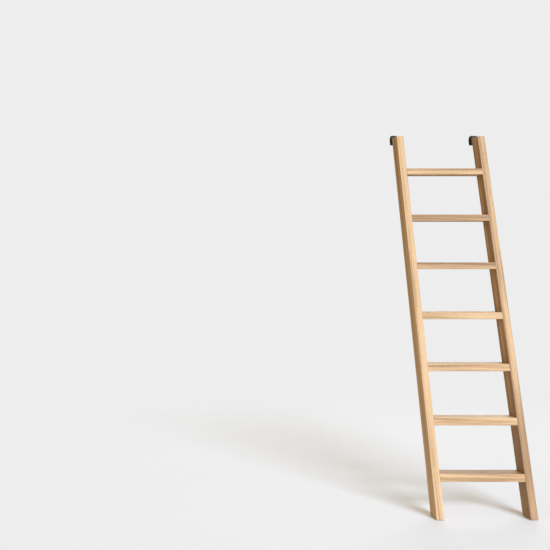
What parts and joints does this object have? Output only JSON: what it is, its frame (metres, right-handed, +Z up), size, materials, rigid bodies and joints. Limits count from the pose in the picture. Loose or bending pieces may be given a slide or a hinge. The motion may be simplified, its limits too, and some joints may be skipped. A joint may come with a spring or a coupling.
{
  "type": "library ladder",
  "caption": "Leaning oak library ladder with flat treads let into two stiles and steel hooks that hang over a shelf rail.",
  "frame": {"origin": "on the floor, below the middle of the bounding box, midway between the two stiles", "axes": "+X across the ladder towards the right stile seen from the front, +Y from the climber towards the shelves it leans on, +Z up"},
  "size_m": [0.484, 0.7166, 1.944],
  "materials": {
    "oak": "clear matt lacquer on natural oak",
    "oak_plug": "clear matt lacquer on end-grain plugs",
    "zinc_steel": "bright zinc plate",
    "black_steel": "fine-texture black powder coat",
    "nylon": "moulded black nylon",
    "black_screw": "black oxide",
    "rubber": "matt natural rubber"
  },
  "bodies": {
    "root": {"tread_1": "oak", "tread_2": "oak", "tread_3": "oak", "tread_4": "oak", "tread_5": "oak", "tread_6": "oak", "tread_7": "oak", "left_stile": "oak", "left_tread_screws": "zinc_steel", "left_screw_plugs": "oak_plug", "left_rail_hook": "black_steel", "left_hook_liner": "nylon", "left_hook_screws": "black_screw", "left_foot_pad": "rubber", "right_stile": "oak", "right_tread_screws": "zinc_steel", "right_screw_plugs": "oak_plug", "right_rail_hook": "black_steel", "right_hook_liner": "nylon", "right_hook_screws": "black_screw", "right_foot_pad": "rubber"}
  },
  "joints": []
}
